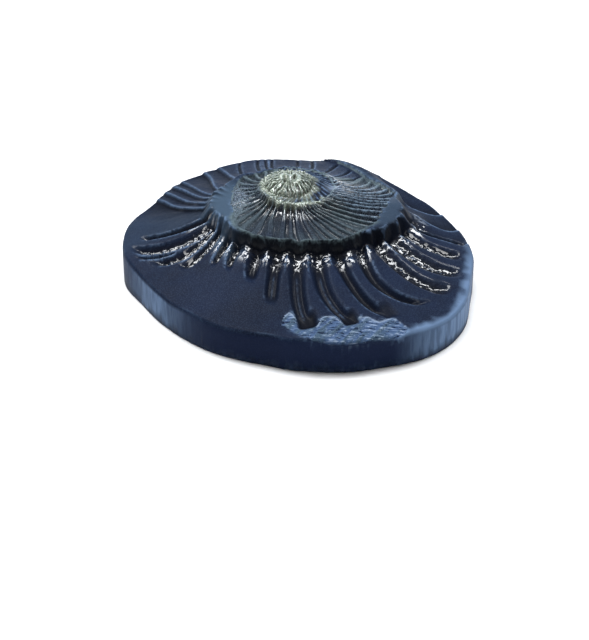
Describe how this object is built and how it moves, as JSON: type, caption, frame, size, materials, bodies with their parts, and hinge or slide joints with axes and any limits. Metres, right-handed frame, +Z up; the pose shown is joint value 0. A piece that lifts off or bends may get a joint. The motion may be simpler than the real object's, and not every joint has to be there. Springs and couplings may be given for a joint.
{
  "type": "ammonite fossil",
  "caption": "Hand-trimmed disc of dark shale with the raised impression of a ribbed ammonite coil on its upper face, rising in steps to a small dome.",
  "frame": {"origin": "middle of the flat underside's bounding rectangle", "axes": "+Z up from the underside towards the coil's dome; +X along the longest way across the disc; -Y towards the chipped part of the rim"},
  "size_m": [0.0802, 0.0782, 0.0245],
  "materials": {
    "shale": "matte blue-black shale, glossy in the rib grooves, with a thin green-gold film on the middle of the coil"
  },
  "bodies": {
    "root": {"ammonite_fossil": "shale"}
  },
  "joints": []
}
